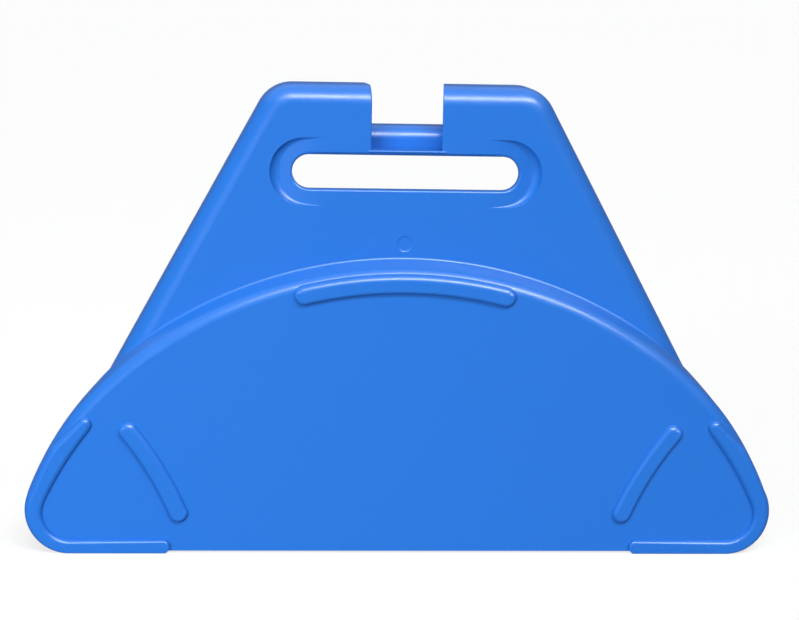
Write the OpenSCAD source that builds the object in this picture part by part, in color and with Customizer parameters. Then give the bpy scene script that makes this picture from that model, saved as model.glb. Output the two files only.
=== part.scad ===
// Side panel assembly of a tracked pool cleaner.
// The outer face looks towards -Y, +X runs along the machine and +Z is up.
// The origin is at the middle of the bottom edge, half-way through the depth.

/* [Panel] */
// Width across the two lower corners
panel_w = 395; // [390:1:400]
// Height to the top edge
panel_h = 246; // [243:1:249]
// Depth from the face of the wear strips to the back rim
panel_d = 48; // [46:1:50]
// Thickness of the moulded walls
wall = 3; // [2.6:0.1:3.2]
// How far the half-moon dome stands proud of the upper face
dome_rise = 12; // [10:0.5:13]
// Rounding of the upper casing's front edges
edge_r = 10.5; // [7:0.5:11]

/* [Carry slot and notch] */
// Length of the carry slot
slot_w = 120; // [110:1:122]
// Height of the carry slot
slot_h = 18.5; // [17:0.5:19]
// Width of the notch in the top edge
notch_w = 36.8; // [30:0.2:40]
// Depth of the finger scoops at their outer ends
scoop_depth = 5; // [3:0.5:6]

/* [Wear strips] */
// How far the wear strips stand proud of the dome
strip_proud = 2.5; // [2:0.1:3]
// Width of the crown strip
crown_strip_w = 10.5; // [9:0.5:12]
// Width of the two short inner strips
inner_strip_w = 10; // [8:0.2:11]

/* [Running gear] */
// Bore of the roller bushes
roller_bore_d = 14; // [12:0.5:15]
// Bore of the drive shaft bush
drive_bore_d = 12; // [10:0.5:13]
// Diameter of the guide pins
guide_pin_d = 8; // [7:0.5:8.5]
// Tread diameter of the guide wheels
wheel_d = 38; // [34:1:40]

/* [Hidden] */
$fn = 64;
far = 60;                                   // reaches past the part in any direction of a cut

// Planes across the depth, from the outer face to the back rim
strip_y = -panel_d / 2;
dome_y = strip_y + strip_proud;
plate_y = dome_y + dome_rise;
back_y = panel_d / 2;
lip_y = dome_y + 16;                        // back edge of the shallow lip round the lower body
groove = 1.5;                               // depth of the grooves that seat the wear strips

// Lower body: dome arc, bowed sides, round lower corners
foot_z = 1;                                 // the strips reach this far below the lower body
dome_r = 232;
dome_cz = panel_h - 322.5;
corner_r = 23;
corner_x = panel_w / 2 - corner_r;
corner_z = foot_z + corner_r;
bow_r = 170.6;
bow_a = 21.1;
bow_x = corner_x - (bow_r - corner_r) * cos(bow_a);
bow_z = corner_z - (bow_r - corner_r) * sin(bow_a);
bow_a1 = 45.5;                              // where the bow meets the slanted side
dome_a = 50.5;                              // where the dome meets the slanted side
dome_edge_r = 7;
inner_edge_r = 2.3;
dome_draft = 2.6;

// Upper casing: a trapezoid with slanted sides
side_slope = 0.545;
side_len = sqrt(1 + side_slope * side_slope);
side_x0 = panel_w / 2 - 76.3;               // half width of the casing at side_z0
side_z0 = 154.5;
casing_z = 90;                              // bottom of the casing's deep flange
top_r = 20;
function side_x(z) = side_x0 + side_slope * (side_z0 - z);

// Carry slot, scoops and notch
slot_z = 201.5;
slot_lip = 8;                               // depth of the wall round the slot
scoop_r = 17.8;
scoop_x = slot_w / 2 - 6.3;
scoop_start = 42.5;
ledge_z = 225.6;
ledge_recess = 14;
ledge_r = 7.5;
notch_floor_z = 212.5;
gate_z = 163.6;
gate_d = 8.6;

// Wear strips and the pegs that hold them
crown_r = dome_r - 11.35;
crown_a = 13.8;
peg_d = 4;
peg_head_d = 7;
peg_head_t = 1.2;
peg_gap = 0.05;

// Bearings
roller_x = 173;
roller_z = 27.5;
roller_bush_d = 20;
roller_flange_d = 26;
roller_boss_d = 28;
roller_boss_y = -2;
drive_z = 104;
drive_bush_d = 18;
drive_flange_d = 23;
drive_boss_d = 26;
drive_boss_y = -6;
bush_end_y = dome_y + wall + 2.5;           // blind end of the guide pins' bores
roller_end_y = bush_end_y + 0.2;            // the bushes' bores end short of it
drive_end_y = bush_end_y + 0.35;
flange_t = 2;

// Guide wheels
guide_x = 90;
guide_z = 95;
guide_boss_d = 18;
guide_boss_y = -3;
washer_t = 1;
washer_d = 17;
bush_len = 20.3;
end_play = 0.1;
bush_od = 12;
run_gap = 0.05;
bush_y = guide_boss_y + washer_t + end_play;
washer_y = bush_y + bush_len + end_play;
clip_t = 0.9;
clip_y = washer_y + washer_t + 0.05;
clip_groove_d = 6.4;
pin_end_y = clip_y + clip_t + 1.6;

// Screw pillars with threaded inserts
insert_d = 7;
insert_len = 9.5;
insert_bore_d = 5;
pillar_d = 12.6;
upper_pillars = [for (x = [-62, 62]) for (z = [170, 231]) [x, z]];
lower_pillars = [for (x = [-55, 55]) for (z = [35, 95]) [x, z]];

// Floats
float_x = 78;
float_z0 = 142;
float_z1 = 204;
float_gap = 9;
float_end_y = 19;

// ---- helpers ----

// Extrudes an XZ outline from y0 to y1
module slab(y0, y1) {
    translate([0, y1, 0]) rotate([90, 0, 0]) linear_extrude(y1 - y0) children();
}

// A round bar along Y
module rod(x, z, y0, y1, d) {
    translate([x, y0, z]) rotate([-90, 0, 0]) cylinder(h = y1 - y0, d = d);
}

// A box given by its ranges
module block(x0, x1, y0, y1, z0, z1) {
    translate([x0, y0, z0]) cube([x1 - x0, y1 - y0, z1 - z0]);
}

// Turns a profile of [radius, y] round the Y axis through (x, z)
module turned(x, z) {
    translate([x, 0, z]) rotate([-90, 0, 0]) rotate_extrude() children();
}

// Copies its children to the left side as well
module both_sides() {
    children();
    mirror([1, 0, 0]) children();
}

function arc(x, z, r, a0, a1, n) =
    [for (i = [0:n]) let (a = a0 + (a1 - a0) * i / n) [x + r * cos(a), z + r * sin(a)]];
function mirrored(pts) = [for (i = [len(pts) - 1:-1:0]) [-pts[i][0], pts[i][1]]];

// A rounded stadium, w long and h high, about (x, z)
module stadium(x, z, w, h) {
    for (s = [-1, 1]) translate([x + s * (w - h) / 2, z]) circle(d = h);
    translate([x, z]) square([w - h, h], center = true);
}

// ---- outlines of the shell ----

// Right half of the lower body from its flat bottom at z0 up, moved in by d and, on the dome arc,
// by extra more
function lower_half(d, z0, extra) = concat(
    [[corner_x, z0]],
    arc(corner_x, corner_z, corner_r - d, -72, bow_a, 7),
    arc(bow_x, bow_z, bow_r - d, bow_a + 3, bow_a1, 6),
    arc(0, dome_cz, dome_r - d - extra, dome_a, 89.9, 16));
function lower_outline(d, z0, extra = 0) =
    concat(lower_half(d, z0, extra), mirrored(lower_half(d, z0, extra)));

// Right half of the upper casing
function upper_half(d) = concat(
    [[side_x(casing_z) - d * side_len, casing_z]],
    arc(side_x(panel_h - top_r) - top_r * side_len, panel_h - top_r, top_r - d, atan(side_slope), 90, 8));
function upper_outline(d) = concat(upper_half(d), mirrored(upper_half(d)));

// How far a rounded edge is set in and back, part k of n round the quarter turn
function round_in(r, k, n) = r * (1 - sin(90 * k / n));
function round_back(r, k, n) = r * (1 - cos(90 * k / n));

// A closed solid through rings of points: an XZ outline at each depth, from the front to the back
function ring(y, outline) = [for (p = outline) [p[0], y, p[1]]];
module skin(rings) {
    n = len(rings[0]);
    last = n * (len(rings) - 1);
    polyhedron(
        points = [for (r = rings) each r],
        faces = concat(
            [[for (i = [n - 1:-1:0]) i], [for (i = [0:n - 1]) last + i]],
            [for (k = [0:n:last - n]) for (i = [0:n - 1]) [k + i, k + (i + 1) % n, k + n + (i + 1) % n]],
            [for (k = [0:n:last - n]) for (i = [0:n - 1]) [k + i, k + n + (i + 1) % n, k + n + i]]));
}

// The casing as a solid: d in from the outside, its rounded front at y0
module casing_solid(d, y0, y1) {
    r = edge_r - d;
    steps = 6;
    skin(concat(
        [for (k = [0:steps])
            ring(y0 + round_back(r, k, steps), upper_outline(d + round_in(r, k, steps)))],
        [ring(y1, upper_outline(d))]));
}

// The lower body as a solid, with the draft on the dome's wall
module lower_solid(d, y0, y1) {
    r = d > 0 ? inner_edge_r : dome_edge_r;
    z0 = foot_z + d;
    steps = 5;
    skin(concat(
        [for (k = [0:steps]) ring(y0 + round_back(r, k, steps),
            lower_outline(d + round_in(r, k, steps), z0, dome_draft))],
        [ring(y0 + dome_rise, lower_outline(d, z0)), ring(y1, lower_outline(d, z0))]));
}

// ---- wear strip outlines ----

// Where a strip on the right side lies; the left one is its mirror image
inner_arc = [283.5, -47.7, 180];            // centre x, centre z and radius of an inner strip
inner_a0 = 141.05;
inner_a1 = 157.3;
strip_in_r = 14.4;
strip_in_x = panel_w / 2 - 23.6;
strip_in_z = 21.4;
strip_in_a = 25;
strip_bow = 190;
strip_bow_x = strip_in_x - (strip_bow - strip_in_r) * cos(strip_in_a);
strip_bow_z = strip_in_z - (strip_bow - strip_in_r) * sin(strip_in_a);
strip_top_a = 38.7;
strip_end_x = 122;
strip_end_w = 8;

// An arc-shaped strip with round ends
module arc_strip(x, z, r, w, a0, a1) {
    polygon(concat(arc(x, z, r + w / 2, a0, a1, 24), arc(x, z, r - w / 2, a1, a0, 24)));
    for (a = [a0, a1]) translate([x + r * cos(a), z + r * sin(a)]) circle(d = w);
}

// The strip round the right lower corner: inner edge, round top end, outer edge
function strip_top(r) = [strip_bow_x + r * cos(strip_top_a), strip_bow_z + r * sin(strip_top_a)];
module corner_strip_2d() {
    top = strip_top(strip_bow + strip_end_w / 2);
    polygon(concat(
        [[strip_end_x, foot_z], [strip_end_x + 2, 0]],
        arc(corner_x, corner_r, corner_r, -90, bow_a, 14),
        arc(bow_x, bow_z, bow_r - 0.6, bow_a + 2, 30.5, 4),
        [strip_top(strip_bow + strip_end_w)],
        arc(strip_bow_x, strip_bow_z, strip_bow, strip_top_a, strip_in_a, 8),
        arc(strip_in_x, strip_in_z, strip_in_r, strip_in_a, -90, 10),
        [[strip_end_x + 2, strip_in_z - strip_in_r], [strip_end_x, strip_in_z - strip_in_r - 2]]));
    translate(top) circle(d = strip_end_w);
}
module crown_strip_2d() {
    arc_strip(0, dome_cz, crown_r, crown_strip_w, 90 - crown_a, 90 + crown_a);
}
module inner_strip_2d() {
    arc_strip(inner_arc[0], inner_arc[1], inner_arc[2], inner_strip_w, inner_a0, inner_a1);
}

// Peg positions on the right side
corner_pegs = [for (a = [29, 36.5])
    [strip_bow_x + (strip_bow + 3.2) * cos(a), strip_bow_z + (strip_bow + 3.2) * sin(a)]];
inner_pegs = [for (a = [144, 154.3])
    [inner_arc[0] + inner_arc[2] * cos(a), inner_arc[1] + inner_arc[2] * sin(a)]];
crown_peg_r = crown_r - 2.5;                // keeps the heads clear of the dome's inner rounding
crown_pegs = [for (a = [-11, 0, 11]) [crown_peg_r * sin(a), dome_cz + crown_peg_r * cos(a)]];

module pegs(places) {
    for (p = places) {
        rod(p[0], p[1], dome_y, dome_y + wall, peg_d);
        rod(p[0], p[1], dome_y + wall, dome_y + wall + peg_head_t, peg_head_d);
    }
}
module peg_holes(places) {
    for (p = places) rod(p[0], p[1], dome_y, dome_y + wall + 1, peg_d + 2 * peg_gap);
}

// ---- side panel ----

// Tray-like scoops at the slot's ends: flush at scoop_start, deepest at the outer end
module scoop(grow) {
    outer = scoop_x + scoop_r;
    intersection() {
        slab(plate_y - 2, plate_y + scoop_depth + wall + 1) {
            translate([scoop_x, slot_z]) circle(r = scoop_r + grow);
            translate([scoop_start, slot_z - scoop_r - grow])
                square([scoop_x - scoop_start, 2 * (scoop_r + grow)]);
        }
        translate([0, 0, slot_z - far]) linear_extrude(2 * far) polygon([
            [scoop_start, plate_y - 2],
            [outer + grow, plate_y - 2],
            [outer + grow, plate_y + grow + scoop_depth],
            [scoop_start, plate_y + grow]]);
    }
}

module shell() {
    open_x = side_x(casing_z + 1) - wall * side_len;
    difference() {
        union() {
            casing_solid(0, plate_y, back_y);
            lower_solid(0, dome_y, lip_y);
        }
        casing_solid(wall, plate_y + wall, back_y + 1);
        lower_solid(wall, dome_y + wall, back_y + 1);
        block(-open_x, open_x, plate_y + wall, back_y + 1, casing_z - 1, casing_z + 1);
    }
}

// Solid stock for the notch's walls, the slot's lip and the scoops
module handle_stock() {
    block(-notch_w / 2 - wall, notch_w / 2 + wall, plate_y, back_y, slot_z + slot_h / 2 - 1, panel_h);
    slab(plate_y, plate_y + slot_lip) stadium(0, slot_z, slot_w + 2 * wall, slot_h + 2 * wall);
    both_sides() scoop(wall);
}
module handle_cuts() {
    x = notch_w / 2;
    ledge_y = plate_y + ledge_recess;
    block(-x, x, -far, far, ledge_z, panel_h + 5);
    block(-x, x, -far, ledge_y, notch_floor_z, ledge_z + 1);
    block(-x, x, ledge_y + wall, far, slot_z - 5, ledge_z - ledge_r);
    block(-x, x, ledge_y + ledge_r - 0.5, far, slot_z - 5, ledge_z - wall);
    difference() {
        block(-x, x, ledge_y - 1, ledge_y + ledge_r, ledge_z - ledge_r, ledge_z + 1);
        translate([-far, ledge_y + ledge_r, ledge_z - ledge_r]) rotate([0, 90, 0])
            cylinder(h = 2 * far, r = ledge_r);
    }
    slab(-far, far) stadium(0, slot_z, slot_w, slot_h);
    both_sides() scoop(0);
    rod(0, gate_z, plate_y - 1, plate_y + 0.8, gate_d);
}

// Stiffening ribs on the inside of the lower body, kept inside its walls
module ribs() {
    rib_t = 2;
    rib_y = dome_y + wall + 8;
    intersection() {
        slab(dome_y + wall - 0.5, rib_y)
            polygon(lower_outline(wall - 0.5, foot_z + wall - 0.5, dome_draft));
        union() {
            for (x = [-110, -55, -28, 28, 55, 110])
                block(x - rib_t / 2, x + rib_t / 2, dome_y, rib_y, 2, 160);
            for (z = [35, 65, 95]) block(-113, 113, dome_y, rib_y, z - rib_t / 2, z + rib_t / 2);
            both_sides() {
                block(guide_x, 152, dome_y, rib_y, guide_z - rib_t / 2, guide_z + rib_t / 2);
                block(110, roller_x, dome_y, rib_y, 15, 17);
                translate([roller_x, 0, roller_z]) for (a = [80, 130, 180])
                    rotate([0, -a, 0]) block(0, 40, dome_y, rib_y, -rib_t / 2, rib_t / 2);
            }
        }
    }
}
module bosses() {
    y0 = dome_y + wall - 0.5;
    both_sides() {
        rod(roller_x, roller_z, y0, roller_boss_y, roller_boss_d);
        rod(guide_x, guide_z, y0, guide_boss_y, guide_boss_d);
    }
    rod(0, drive_z, y0, drive_boss_y, drive_boss_d);
    for (p = lower_pillars) rod(p[0], p[1], y0, back_y, pillar_d);
    for (p = upper_pillars) rod(p[0], p[1], plate_y + wall - 0.5, back_y, pillar_d);
}
module bores() {
    both_sides() {
        rod(roller_x, roller_z, roller_end_y, far, roller_bush_d);
        rod(guide_x, guide_z, bush_end_y, far, guide_pin_d);
    }
    rod(0, drive_z, drive_end_y, far, drive_bush_d);
    for (p = concat(lower_pillars, upper_pillars))
        rod(p[0], p[1], back_y - insert_len, far, insert_d);
}

module side_panel() {
    color([0.12, 0.42, 0.87]) difference() {
        union() {
            shell();
            intersection() {
                handle_stock();
                casing_solid(0, plate_y, back_y);
            }
            ribs();
            bosses();
        }
        handle_cuts();
        bores();
        slab(dome_y - 5, dome_y + groove) crown_strip_2d();
        peg_holes(crown_pegs);
        both_sides() {
            slab(dome_y - 5, dome_y + groove) {
                corner_strip_2d();
                inner_strip_2d();
            }
            peg_holes(corner_pegs);
            peg_holes(inner_pegs);
        }
    }
}

// ---- wear strips ----

module crown_wear_strip() {
    color([0.14, 0.45, 0.9]) {
        slab(strip_y, dome_y + groove) crown_strip_2d();
        pegs(crown_pegs);
    }
}
module corner_wear_strip() {
    color([0.14, 0.45, 0.9]) {
        slab(strip_y, dome_y + groove) corner_strip_2d();
        pegs(corner_pegs);
    }
}
module inner_wear_strip() {
    color([0.14, 0.45, 0.9]) {
        slab(strip_y, dome_y + groove) inner_strip_2d();
        pegs(inner_pegs);
    }
}

// ---- bearings ----

// A flanged sleeve whose flange rests on the end of its boss
module flanged_bush(x, z, boss_y, od, flange_d, bore_d) {
    lead = 0.6;
    color("ivory") turned(x, z) polygon([
        [bore_d / 2, bush_end_y + 0.5],
        [od / 2 - lead, bush_end_y + 0.5],
        [od / 2, bush_end_y + 0.5 + lead],
        [od / 2, boss_y],
        [flange_d / 2, boss_y],
        [flange_d / 2, boss_y + flange_t - lead],
        [flange_d / 2 - lead, boss_y + flange_t],
        [bore_d / 2, boss_y + flange_t]]);
}
module roller_bush(side) {
    flanged_bush(side * roller_x, roller_z, roller_boss_y, roller_bush_d, roller_flange_d,
        roller_bore_d);
}
module drive_shaft_bush() {
    flanged_bush(0, drive_z, drive_boss_y, drive_bush_d, drive_flange_d, drive_bore_d);
}

// ---- guide wheels ----

module guide_pin(side) {
    chamfer = 0.6;
    r = guide_pin_d / 2;
    color("silver") turned(side * guide_x, guide_z) polygon([
        [0, bush_end_y],
        [r - chamfer, bush_end_y],
        [r, bush_end_y + chamfer],
        [r, clip_y - 0.05],
        [clip_groove_d / 2, clip_y - 0.05],
        [clip_groove_d / 2, clip_y + clip_t + 0.05],
        [r, clip_y + clip_t + 0.05],
        [r, pin_end_y - chamfer],
        [r - chamfer, pin_end_y],
        [0, pin_end_y]]);
}
module guide_wheel(side) {
    hub_y0 = bush_y + 0.4;
    hub_y1 = bush_y + bush_len - 0.4;
    rim_y0 = hub_y0 + 1;
    rim_y1 = hub_y1 - 1;
    mid_y = (hub_y0 + hub_y1) / 2;
    flange_w = 1.8;
    flange_h = 2;
    rim_in = wheel_d / 2 - 3.2;
    hub_r = 9;
    web = 2;
    color("white") difference() {
        turned(side * guide_x, guide_z) polygon([
            [bush_od / 2, hub_y0],
            [hub_r, hub_y0],
            [hub_r, mid_y - web],
            [rim_in, mid_y - web],
            [rim_in, rim_y0],
            [wheel_d / 2 + flange_h, rim_y0],
            [wheel_d / 2 + flange_h, rim_y0 + flange_w],
            [wheel_d / 2, rim_y0 + flange_w + 0.8],
            [wheel_d / 2, rim_y1 - flange_w - 0.8],
            [wheel_d / 2 + flange_h, rim_y1 - flange_w],
            [wheel_d / 2 + flange_h, rim_y1],
            [rim_in, rim_y1],
            [rim_in, mid_y + web],
            [hub_r, mid_y + web],
            [hub_r, hub_y1],
            [bush_od / 2, hub_y1]]);
        for (a = [0:60:300]) rod(side * guide_x + 12.4 * cos(a), guide_z + 12.4 * sin(a), -far, far, 5);
    }
}
module guide_bush(side) {
    color([0.25, 0.24, 0.22]) difference() {
        rod(side * guide_x, guide_z, bush_y, bush_y + bush_len, bush_od);
        rod(side * guide_x, guide_z, -far, far, guide_pin_d + 2 * run_gap);
    }
}
module thrust_washers() {
    color([0.85, 0.82, 0.72]) both_sides() difference() {
        union() {
            rod(guide_x, guide_z, guide_boss_y, guide_boss_y + washer_t, washer_d);
            rod(guide_x, guide_z, washer_y, washer_y + washer_t, washer_d);
        }
        rod(guide_x, guide_z, -far, far, guide_pin_d + 2 * run_gap);
    }
}
module pin_clips() {
    color("silver") both_sides() difference() {
        rod(guide_x, guide_z, clip_y, clip_y + clip_t, 13);
        rod(guide_x, guide_z, -far, far, clip_groove_d + 0.1);
        block(guide_x - 2.6, guide_x + 2.6, -far, far, guide_z - 10, guide_z);
        for (a = [25, 155]) rod(guide_x + 5.3 * cos(a), guide_z + 5.3 * sin(a), -far, far, 2.2);
    }
}

// ---- threaded inserts ----

module inserts(places) {
    waist = 0.35;
    r = insert_d / 2;
    y0 = back_y - insert_len;
    color("goldenrod") for (p = places) turned(p[0], p[1]) polygon([
        [insert_bore_d / 2, y0],
        [r, y0],
        [r, y0 + 3.5],
        [r - waist, y0 + 3.5],
        [r - waist, y0 + 5],
        [r, y0 + 5],
        [r, back_y],
        [insert_bore_d / 2, back_y]]);
}

// ---- floats ----

// A foam block in the corner between the slanted side and the end of the carry slot
module float_block() {
    color([0.2, 0.2, 0.22]) slab(plate_y + wall, float_end_y) polygon([
        [float_x, float_z0],
        [side_x(float_z0) - wall * side_len - float_gap, float_z0],
        [side_x(float_z1) - wall * side_len - float_gap, float_z1],
        [float_x, float_z1]]);
}

side_panel();
crown_wear_strip();
mirror([1, 0, 0]) corner_wear_strip();  // left_corner_wear_strip
corner_wear_strip();  // right_corner_wear_strip
mirror([1, 0, 0]) inner_wear_strip();  // left_inner_wear_strip
inner_wear_strip();  // right_inner_wear_strip
roller_bush(-1);  // left_roller_bush
roller_bush(1);  // right_roller_bush
drive_shaft_bush();
guide_pin(-1);  // left_guide_pin
guide_pin(1);  // right_guide_pin
guide_wheel(-1);  // left_guide_wheel
guide_wheel(1);  // right_guide_wheel
guide_bush(-1);  // left_guide_bush
guide_bush(1);  // right_guide_bush
thrust_washers();
pin_clips();
inserts(upper_pillars);  // upper_chassis_inserts
inserts(lower_pillars);  // lower_chassis_inserts
mirror([1, 0, 0]) float_block();  // left_float_block
float_block();  // right_float_block
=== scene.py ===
"""Looks of a tracked pool cleaner's side panel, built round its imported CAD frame.

The outer face looks towards -Y, +X runs along the machine and +Z is up. Shapes are worked out in
millimetres in the frame's own axes, and each mesh becomes metres when its piece is finished.
"""
import math

import bmesh
import bpy
import numpy as np
from mathutils import Matrix, Vector


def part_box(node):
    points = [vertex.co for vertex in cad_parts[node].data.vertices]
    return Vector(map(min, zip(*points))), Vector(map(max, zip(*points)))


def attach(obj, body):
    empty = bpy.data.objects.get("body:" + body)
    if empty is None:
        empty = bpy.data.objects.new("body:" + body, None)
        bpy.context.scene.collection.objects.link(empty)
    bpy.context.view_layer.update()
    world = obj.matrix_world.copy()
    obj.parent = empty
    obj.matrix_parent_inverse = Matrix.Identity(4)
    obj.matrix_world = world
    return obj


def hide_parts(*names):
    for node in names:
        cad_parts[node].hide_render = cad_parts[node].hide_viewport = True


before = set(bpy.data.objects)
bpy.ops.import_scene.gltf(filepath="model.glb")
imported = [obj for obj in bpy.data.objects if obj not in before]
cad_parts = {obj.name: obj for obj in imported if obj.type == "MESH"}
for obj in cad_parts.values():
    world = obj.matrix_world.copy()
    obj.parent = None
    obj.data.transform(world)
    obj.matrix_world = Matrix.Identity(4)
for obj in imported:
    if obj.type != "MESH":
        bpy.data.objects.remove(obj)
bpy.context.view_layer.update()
SCENE = bpy.context.scene

# ---- dimensions in millimetres: the CAD model's, but notch, slot and scoops are fitted closer ----
WALL = 3.0
STRIP_Y, DOME_Y, PLATE_Y, LIP_Y, BACK_Y = -24.0, -21.5, -9.5, -5.5, 24.0
FOOT_Z, PANEL_H = 1.0, 246.0
CORNER = (174.5, 24.0, 23.0)            # centre x, centre z, radius
BOW = (36.8, -29.1, 170.6)
DOME = (0.0, -76.5, 232.0)
CORNER_TO, BOW_FROM, BOW_TO, DOME_FROM = 21.1, 21.9, 40.4, 54.0     # degrees on these circles
SLOPE = 0.545
SLOPE_LEN = math.sqrt(1 + SLOPE * SLOPE)
SLOPE_DEG = math.degrees(math.atan(SLOPE))
CASING_Z = 90.0
SLOT_Z, SLOT_W, SLOT_H, SLOT_LIP = 200.8, 119.0, 17.9, 8.0
NOTCH_X, LEDGE_Z, LEDGE_Y, LEDGE_R, NOTCH_FLOOR_Z = 18.4, 224.3, 4.5, 7.5, 212.5
NOTCH_DRAFT = 0.088                     # the notch widens towards the back
NOTCH_EDGE_R, WORN_EDGE_R = 0.7, 1.6    # front edges of the notch, and the left ear's at its top
SCOOP_X, SCOOP_R, SCOOP_START, SCOOP_DEPTH = 53.7, 17.8, 42.5, 5.7
EDGE_R, DOME_EDGE_R, DOME_TILT = 10.5, 7.0, 22.4
TOP_R = 20.0                            # upper corners of the casing
CROWN_R, CROWN_HALF, CROWN_W = DOME[2] - 11.35, 13.8, 10.5          # radius, degrees, width
INNER_STRIP, INNER_FROM, INNER_TO, INNER_W = (283.5, -47.7, 180.0), 141.05, 157.3, 10.0
LEG_END_X, LEG_W = 122.0, 8.0           # inboard end and width of a corner strip's foot
UPPER_PILLARS = [(x, z) for x in (-62, 62) for z in (170, 231)]
LOWER_PILLARS = [(x, z) for x in (-55, 55) for z in (35, 95)]
ROLLER = (173.0, 27.5)
GUIDE = (90.0, 95.0)
GATE_Z = 163.6
DRIVE = (0.0, 104.0)


def side_x(z):
    return 121.2 + SLOPE * (154.5 - z)


# ---- mesh helpers ----

def link(name, mesh):
    obj = bpy.data.objects.new(name, mesh)
    SCENE.collection.objects.link(obj)
    return obj


def solid(name, points, faces):
    """A closed mesh with its faces turned outwards. Points that fall together are merged."""
    mesh = bpy.data.meshes.new(name)
    mesh.from_pydata([tuple(map(float, p)) for p in points], [], faces)
    bm = bmesh.new()
    bm.from_mesh(mesh)
    bmesh.ops.remove_doubles(bm, verts=bm.verts, dist=1e-4)
    bmesh.ops.recalc_face_normals(bm, faces=bm.faces)
    bm.to_mesh(mesh)
    bm.free()
    return link(name, mesh)


def skin(name, rings, closed=False):
    """A solid through rings of points, capped at both ends or closed on itself."""
    n, m = len(rings[0]), len(rings)
    points = [p for ring in rings for p in ring]
    faces = []
    for k in range(m if closed else m - 1):
        a, b = k * n, (k + 1) % m * n
        faces += [(a + i, a + (i + 1) % n, b + (i + 1) % n, b + i) for i in range(n)]
    if not closed:
        faces += [tuple(range(n)), tuple(range((m - 1) * n, m * n))]
    return solid(name, points, faces)


def lathe(name, x, z, profile, steps=96):
    """Turns a closed profile of (radius, y) round the Y axis through (x, z)."""
    rings = []
    for k in range(steps):
        a = 2 * math.pi * k / steps
        rings.append([(x + r * math.cos(a), y, z + r * math.sin(a)) for r, y in profile])
    return skin(name, rings, closed=True)


def prism(name, outline, y0, y1):
    """A plate of an XZ outline from y0 to y1."""
    return skin(name, [[(p[0], y, p[1]) for p in outline] for y in (y0, y1)])


def block(name, x0, x1, y0, y1, z0, z1):
    return prism(name, [(x0, z0), (x1, z0), (x1, z1), (x0, z1)], y0, y1)


def bake(obj):
    """Applies an object's modifiers."""
    graph = bpy.context.evaluated_depsgraph_get()
    mesh = bpy.data.meshes.new_from_object(obj.evaluated_get(graph))
    obj.modifiers.clear()
    obj.data = mesh
    return obj


def combine(target, tools, operation):
    """Unites with, cuts away or keeps what lies inside each of the tools, then removes them."""
    for tool in tools:
        mod = target.modifiers.new("combine", "BOOLEAN")
        mod.operation, mod.solver, mod.object = operation, "MANIFOLD", tool
    bake(target)
    for tool in tools:
        bpy.data.objects.remove(tool)
    return target


def join(name, parts):
    """Several meshes as one piece, without a boolean."""
    bm = bmesh.new()
    for part in parts:
        bm.from_mesh(part.data)
        bpy.data.objects.remove(part)
    mesh = bpy.data.meshes.new(name)
    bm.to_mesh(mesh)
    bm.free()
    return link(name, mesh)


def finish_piece(obj, name, body, nodes, material, sharp=32, bevel=0.0):
    """Millimetres to metres, edge rounding and shading, and the piece's place in the frame."""
    obj.name = name
    obj.data.transform(Matrix.Scale(0.001, 4))
    obj.data.materials.clear()
    obj.data.materials.append(material)
    if bevel:
        mod = obj.modifiers.new("edges", "BEVEL")
        mod.width, mod.segments, mod.limit_method = bevel * 0.001, 2, "ANGLE"
        mod.angle_limit = math.radians(sharp)
        bake(obj)
    obj.data.shade_smooth()
    obj.data.set_sharp_from_angle(angle=math.radians(sharp))
    mod = obj.modifiers.new("normals", "WEIGHTED_NORMAL")
    mod.keep_sharp = True
    mod.weight = 80
    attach(obj, body)
    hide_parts(*nodes)
    return obj


# ---- outlines: rows of x, z and the outward normal ----

def arc(centre, a0, a1, n, side=1):
    x, z, r = centre
    a = np.radians(np.linspace(a0, a1, n + 1))
    return np.c_[x + r * np.cos(a), z + r * np.sin(a), side * np.cos(a), side * np.sin(a)]


def smooth(lo, hi, v):
    t = np.clip((np.asarray(v, float) - lo) / (hi - lo), 0, 1)
    return t * t * (3 - 2 * t)


def whole(half):
    """The right half of an outline, from the bottom up to the middle, with its mirror image."""
    left = half[::-1].copy()
    left[:, 0] *= -1
    left[:, 2] *= -1
    left = left[np.abs(left[:, 0]) > 1e-6]
    return np.vstack([half, left])


def ring(outline, inset, y):
    inset = np.broadcast_to(inset, len(outline))
    y = np.broadcast_to(y, len(outline))
    return np.c_[outline[:, 0] - outline[:, 2] * inset, y, outline[:, 1] - outline[:, 3] * inset]


def lower_outline():
    """Bottom edge, round corner, bowed side and dome, with a smooth passage from bow to dome."""
    corner = arc(CORNER, -90, CORNER_TO, 34)
    bow = arc(BOW, BOW_FROM, BOW_TO, 22)
    dome = arc(DOME, DOME_FROM, 90, 60)
    p, q = bow[-1], dome[0]
    span = 0.33 * math.hypot(q[0] - p[0], q[1] - p[1])
    controls = [p[:2], p[:2] + span * np.array([-p[3], p[2]]),
                q[:2] - span * np.array([-q[3], q[2]]), q[:2]]
    passage = []
    for t in np.linspace(0, 1, 18)[1:-1]:
        w = [(1 - t) ** 3, 3 * t * (1 - t) ** 2, 3 * t * t * (1 - t), t ** 3]
        at = sum(a * c for a, c in zip(w, controls))
        slope = sum(a * (controls[i + 1] - controls[i])
                    for i, a in enumerate([(1 - t) ** 2, 2 * t * (1 - t), t * t]))
        slope /= np.linalg.norm(slope)
        passage.append([at[0], at[1], slope[1], -slope[0]])
    return whole(np.vstack([[[0, FOOT_Z, 0, -1]], corner, bow, passage, dome]))


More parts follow.
